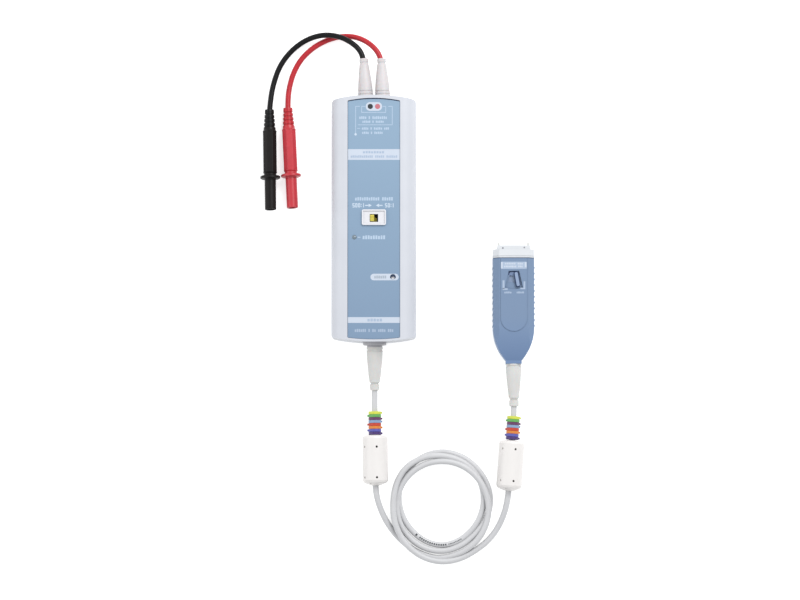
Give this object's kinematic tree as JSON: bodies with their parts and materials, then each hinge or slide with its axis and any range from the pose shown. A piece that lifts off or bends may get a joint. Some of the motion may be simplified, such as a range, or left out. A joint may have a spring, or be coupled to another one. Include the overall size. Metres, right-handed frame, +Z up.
{
  "type": "differential voltage probe",
  "caption": "High-voltage differential probe: long box with slide switch, shrouded plugs on its input leads, and a coiled cable with marker rings and ferrites to an interface box.",
  "frame": {"origin": "middle of the probe box's back face, on the surface it lies on", "axes": "+Y along the probe box towards its input leads, +X towards the interface box, +Z up out of the front"},
  "size_m": [0.231, 0.4488, 0.0344],
  "materials": {
    "shell_white": "fine satin moulding",
    "overlay_blue": "matt printed film",
    "board_green": "solder mask",
    "bezel_white": "satin",
    "switch_black": "matt",
    "slider_yellow": "satin",
    "lamp_grey": "diffused lens",
    "screw_steel": "zinc plated",
    "boot_white": "matt soft plastic",
    "boot_grey": "matt soft plastic",
    "gland_grey": "satin",
    "lead_black": "satin rubber",
    "lead_red": "satin rubber",
    "plug_black": "satin moulding",
    "plug_red": "satin moulding",
    "nickel": "nickel plated brass",
    "gold": "gold plated brass",
    "cable_grey": "satin jacket",
    "hub_blue": "satin moulding",
    "lever_blue": "satin moulding",
    "block_white": "satin moulding",
    "pin_grey": "satin",
    "insulator_white": "waxy",
    "ferrite_case_white": "fine moulding",
    "ferrite_grey": "sintered ferrite",
    "ring_yellow": "satin",
    "ring_green": "satin",
    "ring_magenta": "satin",
    "ring_skyblue": "satin",
    "ring_red": "satin",
    "ring_orange": "satin",
    "ring_violet": "satin",
    "ring_purple": "satin"
  },
  "bodies": {
    "probe": {"black_input_boot": "boot_white", "black_lead": "lead_black", "black_plug_body": "plug_black", "black_plug_pin": "nickel", "black_plug_strain_relief": "lead_black", "cable_coil": "cable_grey", "cable_interface_side": "cable_grey", "cable_main_side": "cable_grey", "coax_plug_contact": "gold", "coax_plug_insulator": "insulator_white", "coax_plug_shell": "nickel", "front_overlay": "overlay_blue", "interface_boot": "boot_grey", "interface_bottom_shell": "hub_blue", "interface_case_screws": "screw_steel", "interface_circuit_board": "board_green", "interface_end_block": "block_white", "interface_ferrite_case_a": "ferrite_case_white", "interface_ferrite_case_b": "ferrite_case_white", "interface_ferrite_core": "ferrite_grey", "interface_guide_pins": "pin_grey", "interface_ring_green": "ring_green", "interface_ring_magenta": "ring_magenta", "interface_ring_orange": "ring_orange", "interface_ring_purple": "ring_purple", "interface_ring_red": "ring_red", "interface_ring_skyblue": "ring_skyblue", "interface_ring_violet": "ring_violet", "interface_ring_yellow": "ring_yellow", "interface_top_shell": "hub_blue", "main_case_screws": "screw_steel", "main_circuit_board": "board_green", "main_ferrite_case_a": "ferrite_case_white", "main_ferrite_case_b": "ferrite_case_white", "main_ferrite_core": "ferrite_grey", "main_front_shell": "shell_white", "main_rear_shell": "shell_white", "main_ring_green": "ring_green", "main_ring_magenta": "ring_magenta", "main_ring_orange": "ring_orange", "main_ring_purple": "ring_purple", "main_ring_red": "ring_red", "main_ring_skyblue": "ring_skyblue", "main_ring_violet": "ring_violet", "main_ring_yellow": "ring_yellow", "output_boot": "boot_grey", "output_gland": "gland_grey", "overrange_lamp": "lamp_grey", "red_input_boot": "boot_white", "red_lead": "lead_red", "red_plug_body": "plug_red", "red_plug_pin": "nickel", "red_plug_strain_relief": "lead_red", "switch_bezel": "bezel_white", "switch_housing": "switch_black", "trimmer_housing": "switch_black"},
    "range_slider": {"switch_slider": "slider_yellow"},
    "gain_screw": {"trimmer_screw": "bezel_white"},
    "lock_lever_body": {"lock_lever": "lever_blue"}
  },
  "joints": [
    {"name": "range_switch_slide", "type": "slide", "parent": "probe", "child": "range_slider", "axis": [1, 0, 0], "range_m": [0, 0.003]},
    {"name": "gain_trim", "type": "hinge", "parent": "probe", "child": "gain_screw", "pos_m": [0.016, -0.0496, 0.0318], "axis": [0, 0, 1], "range_deg": [-135, 135]},
    {"name": "lock_lever_swing", "type": "hinge", "parent": "probe", "child": "lock_lever_body", "pos_m": [0.1172, -0.0349, 0.0232], "axis": [0, 0, -1], "range_deg": [0, 19.6]}
  ]
}
